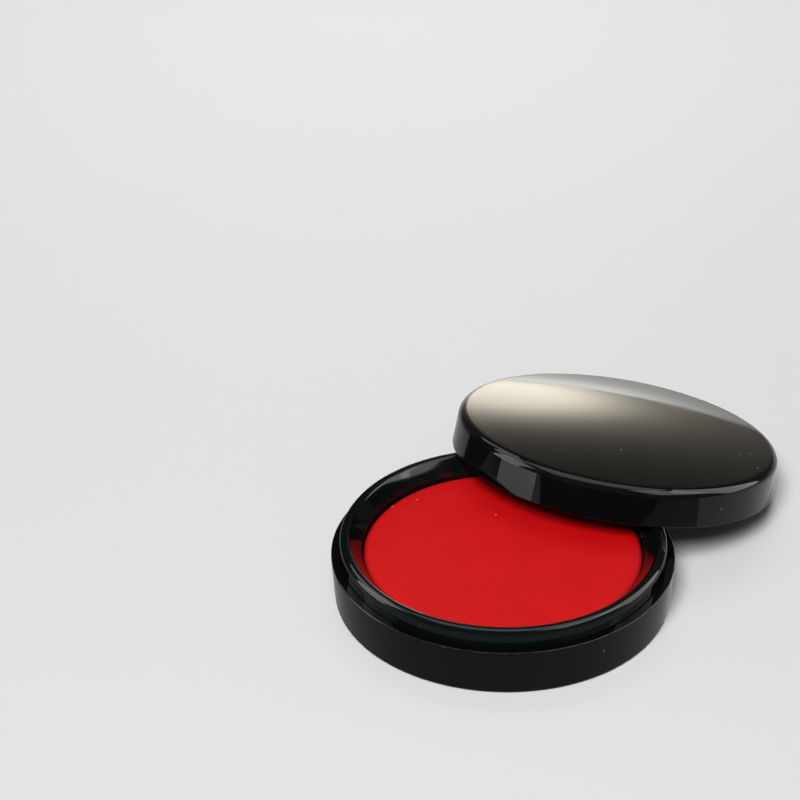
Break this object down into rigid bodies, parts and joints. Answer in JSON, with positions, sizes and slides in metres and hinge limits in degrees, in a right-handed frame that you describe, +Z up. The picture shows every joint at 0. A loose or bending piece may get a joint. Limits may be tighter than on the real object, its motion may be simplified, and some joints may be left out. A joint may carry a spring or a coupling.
{
  "type": "seal paste box",
  "caption": "Round moulded box for seal paste: low base with a raised inner lip round a flat red pad, and a shallow domed lid leaning on the base.",
  "frame": {"origin": "middle of the base's flat underside, on the table", "axes": "+Z up along the base's axis; the lid leans on the base towards +X and +Y, 54.5 degrees round from +X"},
  "size_m": [0.1001, 0.1108, 0.0255],
  "materials": {
    "case_black": "high gloss, injection moulded",
    "tray_black": "gloss, injection moulded, faint green cast",
    "backing_board": "matt sheet",
    "pad_sponge": "open-cell sponge soaked in red paste",
    "paste_cloth": "fine cloth loaded with red paste, matt"
  },
  "bodies": {
    "base": {"base_shell": "case_black", "inner_tray": "tray_black", "pad_backing": "backing_board", "pad_core": "pad_sponge", "pad_cloth": "paste_cloth"},
    "lid": {"lid_shell": "case_black"}
  },
  "joints": [
    {"name": "lid_lift", "type": "slide", "parent": "base", "child": "lid", "axis": [0, 0, 1], "range_m": [0, 0.04]}
  ]
}
